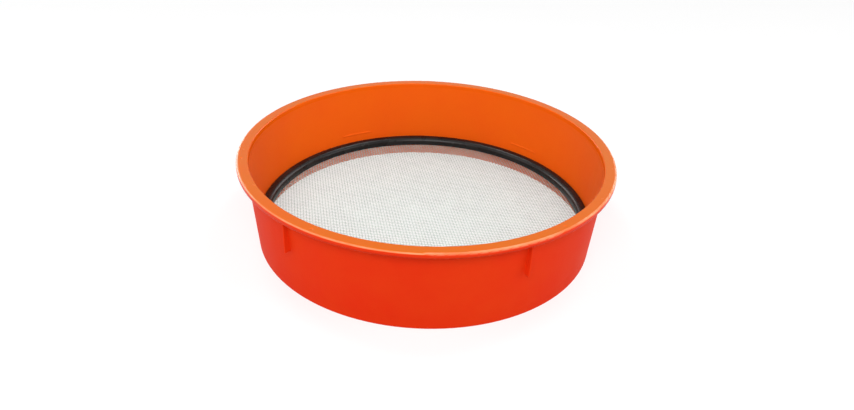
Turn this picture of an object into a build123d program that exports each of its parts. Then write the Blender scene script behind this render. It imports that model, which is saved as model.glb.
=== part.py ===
from build123d import *

import os
from math import cos, radians, sin, tan

# Round hand sieve: a moulded plastic frame, a disc of woven wire and a ring that holds it down.
# Millimetres. Z points up, and the origin is the centre of the frame's foot.

# ---------------------------------------------------------------- driving dimensions
# Frame
rim_radius = 200.0          # outside of the rim
frame_height = 95.5         # foot to the rim's top face
rim_reach = 9.2             # how far the rim stands out from the wall, on the rim's top plane
wall_draft = 4.46           # degrees: the wall leans inwards on its way down
wall_thickness = 3.0
flange_thickness = 3.0      # the flat rim between the wall and the lip
lip_depth = 5.6             # rim's top face to the lip's lower edge
lip_thickness = 2.6
rim_outer_round = 2.2
rim_inner_round = 1.2
lip_edge_round = 0.9
foot_round = 0.8
inside_corner_round = 1.0   # concave corners under the rim and under the ledge

# Ledge that the wire disc lies on
ledge_height = 15.0         # foot to the ledge's top face
ledge_width = 4.5
ledge_thickness = 2.5
ledge_edge_round = 0.5

# Stacking fins on the outside of the wall, under the rim
fin_count = 5
fin_azimuth = -59.9         # degrees, of the first fin
fin_inset = 6.0             # a fin's upright outer edge, in from the outside of the rim
fin_bottom_height = 52.5    # foot to the fins' lower edges
fin_thickness = 2.2
fin_edge_round = 0.5

# Snap beads inside the wall, above the ring, midway between the fins
bead_height = 34.2          # foot to the middle of a bead
bead_rise = 0.6             # how far a bead stands out from the wall
bead_width = 2.4            # up and down the wall
bead_arc = 12.0             # degrees of the wall that one bead runs along

# Dimples left by the mould in the rim's top face
dimple_azimuths = (-168.4, -120.5, -49.2)
dimple_inset = 5.5          # middle of a dimple to the outside of the rim
dimple_ball_radius = 2.6
dimple_depth = 0.6

# Wire disc
wire_diameter = 0.56
wire_pitch = 3.17           # centre to centre of neighbouring wires
weave_azimuth = 11.0        # degrees, the direction of the wires on the upper face
web_thickness = 0.3         # solid web that stands for the crossings of the wires
opening_step = 9            # every ninth mesh opening, both ways, is cut through
mesh_clearance = 0.3        # between the disc's edge and the wall

# Retaining ring
ring_width = 10.4           # across its base
ring_height = 9.2
ring_inner_round = 5.8      # shoulder towards the middle of the sieve
ring_outer_round = 2.2      # shoulder towards the wall
ring_base_round = 0.6
ring_clearance = 0.1        # between the ring and the wall


# ---------------------------------------------------------------- worked-out sizes
wall_slope = tan(radians(wall_draft))
wall_top_radius = rim_radius - rim_reach


def wall_outside(height):
    """Radius of the wall's outside at a height above the foot."""
    return wall_top_radius - (frame_height - height) * wall_slope


def wall_inside(height):
    """Radius of the wall's inside at a height above the foot."""
    return wall_outside(height) - wall_thickness


flange_bottom = frame_height - flange_thickness
lip_bottom = frame_height - lip_depth
lip_inside = rim_radius - lip_thickness

ledge_bottom = ledge_height - ledge_thickness
ledge_inside = wall_inside(ledge_height) - ledge_width

mesh_thickness = 2 * wire_diameter
mesh_middle = ledge_height + mesh_thickness / 2
mesh_radius = wall_inside(ledge_height) - mesh_clearance

ring_bottom = ledge_height + mesh_thickness
ring_top = ring_bottom + ring_height
ring_base_outside = wall_inside(ring_bottom) - ring_clearance
ring_top_outside = wall_inside(ring_top) - ring_clearance
ring_inside = ring_base_outside - ring_width

root_sink = wall_thickness / 2  # how deep fins and beads start inside the wall, so that they fuse


# ---------------------------------------------------------------- frame
frame_section = (
    # radius, height, corner radius
    (wall_outside(0), 0, foot_round),
    (wall_outside(flange_bottom), flange_bottom, inside_corner_round),
    (lip_inside, flange_bottom, inside_corner_round),
    (lip_inside, lip_bottom, lip_edge_round),
    (rim_radius, lip_bottom, lip_edge_round),
    (rim_radius, frame_height, rim_outer_round),
    (wall_inside(frame_height), frame_height, rim_inner_round),
    (wall_inside(ledge_height), ledge_height, 0),
    (ledge_inside, ledge_height, ledge_edge_round),
    (ledge_inside, ledge_bottom, ledge_edge_round),
    (wall_inside(ledge_bottom), ledge_bottom, inside_corner_round),
    (wall_inside(0), 0, foot_round),
)

# One fin, in the plane of the X axis: its outer edge is upright, so it is deepest at the bottom.
fin_outside = rim_radius - fin_inset
fin_top_height = frame_height - flange_thickness / 2
with BuildPart() as fin:
    with BuildSketch(Plane.XZ):
        with BuildLine():
            Polyline(
                (wall_outside(fin_top_height) - root_sink, fin_top_height),
                (fin_outside, fin_top_height),
                (fin_outside, fin_bottom_height),
                (wall_outside(fin_bottom_height) - root_sink, fin_bottom_height),
                close=True,
            )
        make_face()
    extrude(amount=fin_thickness / 2, both=True)
    outer_face = fin.faces().sort_by(Axis.X)[-1]
    fillet(outer_face.edges().filter_by(Axis.Y, reverse=True), fin_edge_round)

# One snap bead: a low arch in section, carried part of the way round the wall.
with BuildPart() as bead:
    with BuildSketch(Plane.XZ):
        with BuildLine():
            lower = (wall_inside(bead_height - bead_width / 2), bead_height - bead_width / 2)
            crest = (wall_inside(bead_height) - bead_rise, bead_height)
            upper = (wall_inside(bead_height + bead_width / 2), bead_height + bead_width / 2)
            ThreePointArc(lower, crest, upper)
            Polyline(
                upper,
                (upper[0] + root_sink, upper[1]),
                (lower[0] + root_sink, lower[1]),
                lower,
            )
        make_face()
    revolve(axis=Axis.Z, revolution_arc=bead_arc)

with BuildPart() as sieve_frame:
    with BuildSketch(Plane.XZ):
        with BuildLine():
            FilletPolyline(
                [(radius, height) for radius, height, _ in frame_section],
                radius=[corner for _, _, corner in frame_section],
                close=True,
            )
        make_face()
    revolve(axis=Axis.Z)
    with PolarLocations(0, fin_count, start_angle=fin_azimuth):
        add(fin.part)
    with PolarLocations(0, fin_count, start_angle=fin_azimuth + (180 / fin_count) - bead_arc / 2):
        add(bead.part)
    dimple_circle_radius = rim_radius - dimple_inset
    dimple_ball_height = frame_height + dimple_ball_radius - dimple_depth
    dimple_centres = [
        (
            dimple_circle_radius * cos(radians(azimuth)),
            dimple_circle_radius * sin(radians(azimuth)),
            dimple_ball_height,
        )
        for azimuth in dimple_azimuths
    ]
    with Locations(*dimple_centres):
        Sphere(dimple_ball_radius, mode=Mode.SUBTRACT)

# ---------------------------------------------------------------- wire disc
# A thin web with the wires as peaked ridges, one direction above it and the other below.
half_rows = int(mesh_radius / wire_pitch) + 1
wire_span = 2 * (mesh_radius + wire_pitch)
web_surface = web_thickness / 2
wire_surface = mesh_thickness / 2

mesh_plane = Plane.XY.offset(mesh_middle).rotated((0, 0, weave_azimuth))
across_upper_wires = Plane(mesh_plane.origin, x_dir=mesh_plane.y_dir, z_dir=mesh_plane.x_dir)
across_lower_wires = Plane(mesh_plane.origin, x_dir=mesh_plane.x_dir, z_dir=mesh_plane.y_dir)


def wire_comb(wire_count):
    """Outline of half of the web with its wires, looking along the wires, open at the ends."""
    outline = []
    for row in range(wire_count):
        middle = (row - (wire_count - 1) / 2) * wire_pitch
        outline += [
            (middle - wire_diameter / 2, web_surface),
            (middle, wire_surface),
            (middle + wire_diameter / 2, web_surface),
        ]
    return outline


# Openings are cut only where the ring leaves the whole opening clear.
opening_size = wire_pitch - wire_diameter
opening_spacing = opening_step * wire_pitch
opening_rows = 2 * int(ring_inside / opening_spacing) + 1
opening_grid = GridLocations(opening_spacing, opening_spacing, opening_rows, opening_rows)
openings = [
    place for place in opening_grid if place.position.length < ring_inside - opening_size
]

with BuildPart() as wire_mesh:
    for across in (across_upper_wires, across_lower_wires):
        with BuildSketch(across):
            with BuildLine():
                Polyline(
                    (-wire_span / 2, 0),
                    (-wire_span / 2, web_surface),
                    *wire_comb(2 * half_rows),
                    (wire_span / 2, web_surface),
                    (wire_span / 2, 0),
                    close=True,
                )
            make_face()
        extrude(amount=wire_span / 2, both=True)
    with BuildSketch(Plane.XY.offset(ledge_height)):
        Circle(mesh_radius)
    extrude(amount=mesh_thickness, mode=Mode.INTERSECT)
    with BuildSketch(mesh_plane):
        with Locations(*openings):
            Rectangle(opening_size, opening_size)
    extrude(amount=mesh_thickness, both=True, mode=Mode.SUBTRACT)

# ---------------------------------------------------------------- retaining ring
ring_section = (
    # radius, height, corner radius
    (ring_inside, ring_bottom, ring_base_round),
    (ring_base_outside, ring_bottom, ring_base_round),
    (ring_top_outside, ring_top, ring_outer_round),
    (ring_inside, ring_top, ring_inner_round),
)

with BuildPart() as retaining_ring:
    with BuildSketch(Plane.XZ):
        with BuildLine():
            FilletPolyline(
                [(radius, height) for radius, height, _ in ring_section],
                radius=[corner for _, _, corner in ring_section],
                close=True,
            )
        make_face()
    revolve(axis=Axis.Z)

# ---------------------------------------------------------------- export
pieces = {
    "sieve_frame": sieve_frame,
    "wire_mesh": wire_mesh,
    "retaining_ring": retaining_ring,
}
os.makedirs("parts", exist_ok=True)
for label, piece in pieces.items():
    piece.part.label = label
    export_step(piece.part, f"parts/{label}.step")
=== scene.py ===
import math

import bpy
from mathutils import Matrix, Vector


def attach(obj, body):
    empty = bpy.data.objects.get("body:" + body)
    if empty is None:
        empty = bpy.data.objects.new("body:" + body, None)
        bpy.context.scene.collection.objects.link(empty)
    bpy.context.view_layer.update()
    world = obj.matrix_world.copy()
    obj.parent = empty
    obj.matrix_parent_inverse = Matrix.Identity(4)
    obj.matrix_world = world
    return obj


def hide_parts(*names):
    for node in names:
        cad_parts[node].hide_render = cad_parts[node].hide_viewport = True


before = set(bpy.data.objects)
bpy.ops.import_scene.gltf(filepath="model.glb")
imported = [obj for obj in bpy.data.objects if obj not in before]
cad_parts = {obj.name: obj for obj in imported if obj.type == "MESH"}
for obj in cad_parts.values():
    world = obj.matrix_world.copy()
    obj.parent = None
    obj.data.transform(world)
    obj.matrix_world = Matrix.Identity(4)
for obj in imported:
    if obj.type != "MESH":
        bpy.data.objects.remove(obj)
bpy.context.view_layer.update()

# Round hand sieve: an orange moulded frame, a disc of woven steel wire and a black ring.
# Metres. The origin is the centre of the frame's foot, with +Z up and the camera on the -Y side.

MM = 0.001

# ---------------------------------------------------------------- sizes, as in the CAD
# Frame
RIM_RADIUS = 200 * MM
RIM_HEIGHT = 95.5 * MM
LIP_BOTTOM = 89.9 * MM
WALL_SLOPE = 0.078              # the wall leans outwards by this much for each unit of height
WALL_FOOT_MIDDLE = 181.85 * MM  # radius of the middle of the wall at the foot

# Wire disc
WIRE_DIAMETER = 0.56 * MM
WIRE_PITCH = 3.17 * MM
WEAVE_AZIMUTH = math.radians(11)
MESH_MIDDLE = 15 * MM + WIRE_DIAMETER  # the ledge and half of two crossed wires
MESH_RADIUS = 181.2 * MM
WIRE_ROWS = 116
WIRE_SIDES = 5
STEPS_PER_CROSSING = 2

# ---------------------------------------------------------------- camera, fitted to the outlines
IMAGE_WIDTH_PX = 854
FOCAL_PX = 738.832
SENSOR_WIDTH = 36               # millimetres, as Blender counts a sensor
CLIP_START = 0.01
CAMERA_DISTANCE = 794.79 * MM   # to the middle of the rim's top
CAMERA_ELEVATION = 0.457890     # this and the next three in radians
CAMERA_ROLL = 0.0387506
CAMERA_YAW = 0.00262636         # off the line to the middle of the rim's top
CAMERA_PITCH = -0.0766192

# ---------------------------------------------------------------- studio
FLOOR_HALF = 12.0
FLOOR_GREY = 0.37               # the part of the floor's white that lamps light and shadows darken
FLOOR_OWN_WHITE = 0.64          # the part that is its own, near the sieve
FLOOR_FAR_WHITE = 0.90          # and beyond the lamps' reach
FLOOR_NEAR, FLOOR_FAR = 0.9, 5.0
WORLD_LIGHT = 0.34              # the world as a light; it is full white where seen or mirrored

FRAME_MIDDLE = (0, 0, 0.05)
RIM_MIDDLE = (0, 0, 0.09)
LAMPS = (
    # name, place, aim, size, watts, only seen in reflections
    ("key", (-0.15, -1.7, 1.4), FRAME_MIDDLE, (1.5, 1.2), 31, False),
    ("left", (-1.7, -0.5, 0.8), FRAME_MIDDLE, (1.2, 1.2), 10, False),
    ("right", (1.7, -0.5, 0.8), FRAME_MIDDLE, (1.2, 1.2), 13, False),
    ("top_left", (-0.75, 0.5, 2.0), FRAME_MIDDLE, (0.5, 0.5), 8.5, False),
    ("top_right", (0.75, 0.5, 2.0), FRAME_MIDDLE, (0.5, 0.5), 8.5, False),
    ("card_left", (-1.6, 1.4, 0.65), RIM_MIDDLE, (1.6, 1.2), 48, True),
    ("card_right", (1.6, 1.4, 0.65), RIM_MIDDLE, (1.6, 1.2), 42, True),
)


def add_object(name, data):
    thing = bpy.data.objects.new(name, data)
    bpy.context.collection.objects.link(thing)
    return thing


# ---------------------------------------------------------------- camera
def add_camera():
    """Camera at the photograph's viewing angle."""
    to_camera = Vector((0, -math.cos(CAMERA_ELEVATION), math.sin(CAMERA_ELEVATION)))
    place = CAMERA_DISTANCE * to_camera + Vector((0, 0, RIM_HEIGHT))
    ahead = -to_camera
    right = Vector((1, 0, 0))
    up = right.cross(ahead)
    look = (ahead + CAMERA_YAW * right + CAMERA_PITCH * up).normalized()
    level = look.cross(up).normalized()
    above = level.cross(look)
    x_axis = math.cos(CAMERA_ROLL) * level + math.sin(CAMERA_ROLL) * above
    y_axis = -math.sin(CAMERA_ROLL) * level + math.cos(CAMERA_ROLL) * above

    data = bpy.data.cameras.new("camera")
    data.sensor_fit = "HORIZONTAL"
    data.sensor_width = SENSOR_WIDTH
    data.lens = FOCAL_PX * SENSOR_WIDTH / IMAGE_WIDTH_PX
    data.clip_start = CLIP_START
    camera = add_object("camera", data)
    turn = Matrix((x_axis, y_axis, -look)).transposed()
    camera.matrix_world = Matrix.Translation(place) @ turn.to_4x4()
    bpy.context.scene.camera = camera


# ---------------------------------------------------------------- node helpers
class Nodes:
    """Short calls for building the node tree of one material, or of the world."""

    def __init__(self, owner, output_kind="ShaderNodeOutputMaterial"):
        owner.use_nodes = True
        self.owner = owner
        self.tree = owner.node_tree
        self.tree.nodes.clear()
        self.output = self.tree.nodes.new(output_kind)

    def feed(self, socket, value):
        """Link the socket to another node's output, or set it to a constant."""
        if isinstance(value, bpy.types.NodeSocket):
            self.tree.links.new(value, socket)
        else:
            socket.default_value = value

    def add(self, kind, inputs=None, **settings):
        node = self.tree.nodes.new(kind)
        for name, value in settings.items():
            setattr(node, name, value)
        for name, value in (inputs or {}).items():
            self.feed(node.inputs[name], value)
        return node

    def math(self, operation, a, b):
        return self.add("ShaderNodeMath", {0: a, 1: b}, operation=operation).outputs[0]

    def length(self, vector):
        node = self.add("ShaderNodeVectorMath", {0: vector}, operation="LENGTH")
        return node.outputs["Value"]

    def upward(self):
        """1 where the surface faces up, 0 where it is upright."""
        normal = self.add("ShaderNodeNewGeometry").outputs["Normal"]
        inputs = {0: normal, 1: (0, 0, 1)}
        node = self.add("ShaderNodeVectorMath", inputs, operation="DOT_PRODUCT")
        return node.outputs["Value"]

    def stretched(self, coordinates, scale):
        inputs = {0: coordinates, 1: scale}
        return self.add("ShaderNodeVectorMath", inputs, operation="MULTIPLY").outputs["Vector"]

    def noise(self, coordinates, scale, detail, roughness):
        node = self.add(
            "ShaderNodeTexNoise",
            {"Vector": coordinates, "Scale": scale, "Detail": detail, "Roughness": roughness},
        )
        return node.outputs["Fac"]

    def range(self, value, low, high, to_low, to_high):
        ends = {"From Min": low, "From Max": high, "To Min": to_low, "To Max": to_high}
        node = self.add("ShaderNodeMapRange", {"Value": value, **ends}, clamp=True)
        return node.outputs["Result"]

    def mix(self, factor, a, b):
        """Colour mix; the node's own colour sockets are its inputs 6 and 7 and its output 2."""
        return self.add("ShaderNodeMix", {0: factor, 6: a, 7: b}, data_type="RGBA").outputs[2]

    def place(self):
        return self.add("ShaderNodeTexCoord").outputs["Object"]

    def radius_and_height(self, place):
        """Distance from the sieve's axis, and height above its foot."""
        radius = self.length(self.stretched(place, (1, 1, 0)))
        height = self.add("ShaderNodeSeparateXYZ", {"Vector": place}).outputs["Z"]
        return radius, height

    def seen(self):
        """1 for rays that see a surface or mirror it, 0 for rays that it lights."""
        rays = self.add("ShaderNodeLightPath").outputs
        seen = self.math("MAXIMUM", rays["Is Camera Ray"], rays["Is Glossy Ray"])
        return self.math("MAXIMUM", seen, rays["Is Transmission Ray"])

    def finish(self, shader):
        self.tree.links.new(shader.outputs[0], self.output.inputs["Surface"])
        return self.owner


def rgb(red, green, blue):
    return (red, green, blue, 1.0)


# ---------------------------------------------------------------- materials
def orange_plastic():
    """Satin moulded plastic: redder below the rim outside, lighter inside, glossier on the rim;
    painted sheen and shade on up-facing faces, a painted highlight line on the rim's outer round
    and painted shade along the lip's lower half.
    """
    inside_orange = rgb(0.84, 0.118, 0.002)
    outside_red = rgb(0.80, 0.028, 0.002)
    # painted sheen and shade for faces that look up
    top_sheen_shade_orange = rgb(0.61, 0.132, 0.006)
    # painted shade for the lip's lower half
    lip_shade_red = rgb(0.50, 0.018, 0.002)
    # pale colour for the painted highlight line on the rim's outer round
    painted_highlight_pale = rgb(0.86, 0.42, 0.22)
    cloud_orange = rgb(0.82, 0.070, 0.004)
    speck_red = rgb(0.62, 0.03, 0.004)

    n = Nodes(bpy.data.materials.new("orange_plastic"))
    place = n.place()
    upward = n.upward()
    radius, height = n.radius_and_height(place)

    # Outside is beyond the middle of the tapered wall
    beyond = n.math("SUBTRACT", radius, n.math("MULTIPLY", height, WALL_SLOPE))
    outside = n.range(beyond, WALL_FOOT_MIDDLE - 0.4 * MM, WALL_FOOT_MIDDLE + 0.4 * MM, 0, 1)
    below_rim = n.range(height, LIP_BOTTOM + 3.6 * MM, LIP_BOTTOM + 5.2 * MM, 1, 0)
    colour = n.mix(n.math("MULTIPLY", outside, below_rim), inside_orange, outside_red)
    # Up-facing faces take a darker, yellower orange: painted shade against the overhead light, and
    # painted sheen
    colour = n.mix(n.range(upward, 0.70, 0.97, 0, 1), colour, top_sheen_shade_orange)

    # Painted shade: a darker red along the lip's lower half, standing in for the shade under the
    # rim
    above_edge = n.range(height, LIP_BOTTOM - 0.6 * MM, LIP_BOTTOM, 0, 1)
    below_middle = n.range(height, LIP_BOTTOM + 1.2 * MM, LIP_BOTTOM + 2.6 * MM, 0.6, 0)
    lip_painted_shade = n.math("MULTIPLY", above_edge, below_middle)
    colour = n.mix(n.math("MULTIPLY", lip_painted_shade, outside), colour, lip_shade_red)

    # A painted highlight: a pale line along the rim's outer round, in place of the shine on it
    not_upright = n.range(upward, 0.30, 0.62, 0, 1)
    not_flat = n.range(upward, 0.80, 0.97, 1, 0)
    slanting = n.math("MULTIPLY", not_upright, not_flat)
    near_edge = n.range(radius, RIM_RADIUS - 4 * MM, RIM_RADIUS - 3 * MM, 0, 1)
    on_lip = n.range(height, LIP_BOTTOM + 2 * MM, LIP_BOTTOM + 3 * MM, 0, 1)
    uneven = n.range(n.noise(place, 22, 3, 0.6), 0.35, 0.65, 0.35, 0.85)
    painted_highlight_line = n.math("MULTIPLY", n.math("MULTIPLY", slanting, near_edge), on_lip)
    colour = n.mix(n.math("MULTIPLY", painted_highlight_line, uneven), colour, painted_highlight_pale)

    cloudy = n.range(n.noise(place, 14, 4, 0.6), 0.3, 0.7, 0, 0.3)
    colour = n.mix(cloudy, colour, cloud_orange)
    specks = n.range(n.noise(place, 900, 2, 0.6), 0.62, 0.8, 0, 0.35)
    colour = n.mix(specks, colour, speck_red)

    flow = n.noise(n.stretched(place, (60, 60, 7)), 1, 3, 0.6)
    grain = n.noise(place, 1400, 2, 0.5)
    swell = n.noise(place, 26, 2, 0.5)
    scuffs = n.noise(n.stretched(place, (240, 240, 900)), 1, 4, 0.7)
    relief = n.math("ADD", n.math("MULTIPLY", flow, 0.12), n.math("MULTIPLY", grain, 0.04))
    relief = n.math("ADD", relief, n.math("MULTIPLY", swell, 0.35))
    bump = n.add("ShaderNodeBump", {"Strength": 0.18, "Distance": 1.2 * MM, "Height": relief})
    worn = n.math("ADD", n.math("MULTIPLY", flow, 0.5), n.math("MULTIPLY", scuffs, 0.5))
    dull = n.range(height, LIP_BOTTOM - 3 * MM, LIP_BOTTOM + 1 * MM, 0.62, 0.24)
    return n.finish(n.add(
        "ShaderNodeBsdfPrincipled",
        {
            "Base Color": colour,
            "Roughness": n.math("ADD", n.range(worn, 0.3, 0.7, -0.05, 0.05), dull),
            "Specular IOR Level": 0.10,
            "Normal": bump.outputs["Normal"],
        },
    ))


def black_plastic():
    """Satin black plastic with fine lines running round the ring and a few dull patches."""
    deep_black = rgb(0.006, 0.005, 0.005)
    patch_black = rgb(0.013, 0.012, 0.011)
    grain_grey = rgb(0.07, 0.065, 0.06)

    n = Nodes(bpy.data.materials.new("black_plastic"))
    place = n.place()
    radius, height = n.radius_and_height(place)
    section = n.add("ShaderNodeCombineXYZ", {"X": radius, "Y": height}).outputs["Vector"]
    lines = n.noise(section, 2600, 3, 0.6)
    patches = n.noise(place, 38, 4, 0.6)
    grain = n.noise(place, 1900, 2, 0.5)
    colour = n.mix(n.range(patches, 0.35, 0.7, 0, 1), deep_black, patch_black)
    colour = n.mix(n.range(grain, 0.64, 0.8, 0, 0.3), colour, grain_grey)
    relief = n.math("ADD", n.math("MULTIPLY", lines, 0.5), n.math("MULTIPLY", grain, 0.3))
    bump = n.add("ShaderNodeBump", {"Strength": 0.16, "Distance": 0.4 * MM, "Height": relief})
    return n.finish(n.add(
        "ShaderNodeBsdfPrincipled",
        {
            "Base Color": colour,
            "Roughness": n.range(patches, 0.3, 0.7, 0.22, 0.32),
            "Specular IOR Level": 0.2,
            "Normal": bump.outputs["Normal"],
        },
    ))


def steel_wire():
    """Bright drawn wire: each stretch a little lighter or duller than the next."""
    bright_steel = rgb(0.52, 0.59, 0.54)
    dull_steel = rgb(0.42, 0.48, 0.44)
    drawn_grey = rgb(0.40, 0.40, 0.38)

    n = Nodes(bpy.data.materials.new("steel_wire"))
    place = n.place()
    dull = n.noise(place, 55, 4, 0.6)
    drawn = n.noise(place, 1500, 2, 0.6)
    colour = n.mix(n.range(dull, 0.3, 0.7, 0, 1), bright_steel, dull_steel)
    colour = n.mix(n.range(drawn, 0.6, 0.8, 0, 0.4), colour, drawn_grey)
    bump = n.add("ShaderNodeBump", {"Strength": 0.2, "Distance": 0.1 * MM, "Height": drawn})
    return n.finish(n.add(
        "ShaderNodeBsdfPrincipled",
        {
            "Base Color": colour,
            "Metallic": 1.0,
            "Roughness": n.range(drawn, 0.3, 0.7, 0.28, 0.42),
            "Normal": bump.outputs["Normal"],
        },
    ))


def floor_white():
    """Plain white floor: part of its white is its own, so that a soft shadow stays on it."""
    n = Nodes(bpy.data.materials.new("floor_white"))
    shade = n.add("ShaderNodeBsdfDiffuse", {"Color": rgb(FLOOR_GREY, FLOOR_GREY, FLOOR_GREY)})
    away = n.length(n.place())
    own = n.range(away, FLOOR_NEAR, FLOOR_FAR, FLOOR_OWN_WHITE, FLOOR_FAR_WHITE)
    level = n.math("MULTIPLY", n.seen(), own)
    glow = n.add("ShaderNodeEmission", {"Color": rgb(1, 1, 1), "Strength": level})
    return n.finish(n.add("ShaderNodeAddShader", {0: shade.outputs[0], 1: glow.outputs[0]}))


# ---------------------------------------------------------------- woven wire
def wire_piece(name, rows, along_azimuth):
    """One piece with some of the rows that run one way, each wire passing over and under."""
    along = Vector((math.cos(along_azimuth), math.sin(along_azimuth), 0))
    aside = Vector((-math.sin(along_azimuth), math.cos(along_azimuth), 0))
    middle = (WIRE_ROWS - 1) / 2
    radius = WIRE_DIAMETER / 2
    turns = [2 * math.pi * side / WIRE_SIDES for side in range(WIRE_SIDES)]
    step = WIRE_PITCH / STEPS_PER_CROSSING
    vertices, faces = [], []
    for row in rows:
        offset = (row - middle) * WIRE_PITCH
        half = math.sqrt(max(MESH_RADIUS ** 2 - offset ** 2, 0))
        if half < WIRE_PITCH:
            continue
        steps = int(half / step)
        stations = [-half] + [k * step for k in range(-steps, steps + 1)] + [half]
        first = len(vertices)
        for station in stations:
            swing = math.cos(math.pi * (station / WIRE_PITCH + middle + row))
            height = MESH_MIDDLE + radius * swing
            centre = along * station + aside * offset + Vector((0, 0, height))
            for turn in turns:
                outward = math.cos(turn) * aside + Vector((0, 0, math.sin(turn)))
                vertices.append(centre + radius * outward)
        last = first + (len(stations) - 1) * WIRE_SIDES
        for base in range(first, last, WIRE_SIDES):
            ahead = base + WIRE_SIDES
            for side in range(WIRE_SIDES):
                after = (side + 1) % WIRE_SIDES
                faces.append((base + side, ahead + side, ahead + after, base + after))
        faces.append(tuple(first + side for side in range(WIRE_SIDES)))
        faces.append(tuple(last + side for side in reversed(range(WIRE_SIDES))))
    mesh = bpy.data.meshes.new(name)
    mesh.from_pydata(vertices, [], faces)
    mesh.polygons.foreach_set("use_smooth", [len(face) == 4 for face in faces])
    mesh.update()
    return add_object(name, mesh)


def add_woven_wires(material):
    """Both directions of the weave, each in two pieces, in place of the CAD's wire disc."""
    half = WIRE_ROWS // 2
    across = WEAVE_AZIMUTH + math.pi / 2
    for name, rows, azimuth in (
        ("wires_along_near", range(0, half), WEAVE_AZIMUTH),
        ("wires_along_far", range(half, WIRE_ROWS), WEAVE_AZIMUTH),
        ("wires_across_right", range(0, half), across),
        ("wires_across_left", range(half, WIRE_ROWS), across),
    ):
        piece = wire_piece(name, rows, azimuth)
        piece.data.materials.append(material)
        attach(piece, "root")
        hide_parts("wire_mesh")


# ---------------------------------------------------------------- studio
def add_lamp(name, place, aim, size, watts, only_reflected):
    data = bpy.data.lights.new(name, "AREA")
    data.shape = "RECTANGLE"
    data.size, data.size_y = size
    data.energy = watts
    lamp = add_object(name, data)
    lamp.visible_diffuse = not only_reflected
    place = Vector(place)
    turn = (Vector(aim) - place).to_track_quat("-Z", "Y")
    lamp.matrix_world = Matrix.Translation(place) @ turn.to_matrix().to_4x4()


def add_floor(material):
    half = FLOOR_HALF
    corners = [(-half, -half, 0), (half, -half, 0), (half, half, 0), (-half, half, 0)]
    mesh = bpy.data.meshes.new("floor")
    mesh.from_pydata(corners, [], [(0, 1, 2, 3)])
    mesh.materials.append(material)
    add_object("floor", mesh)


def add_world():
    """White where it is seen or mirrored, and a softer white as light."""
    n = Nodes(bpy.data.worlds.new("studio"), "ShaderNodeOutputWorld")
    level = n.range(n.seen(), 0, 1, WORLD_LIGHT, 1)
    background = n.add("ShaderNodeBackground", {"Color": rgb(1, 1, 1), "Strength": level})
    bpy.context.scene.world = n.finish(background)


# ---------------------------------------------------------------- make it
add_camera()
for node, material in (("sieve_frame", orange_plastic()), ("retaining_ring", black_plastic())):
    for material_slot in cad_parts[node].material_slots:
        material_slot.material = material
add_woven_wires(steel_wire())
add_floor(floor_white())
add_world()
for lamp in LAMPS:
    add_lamp(*lamp)

view = bpy.context.scene.view_settings
view.view_transform = "Standard"
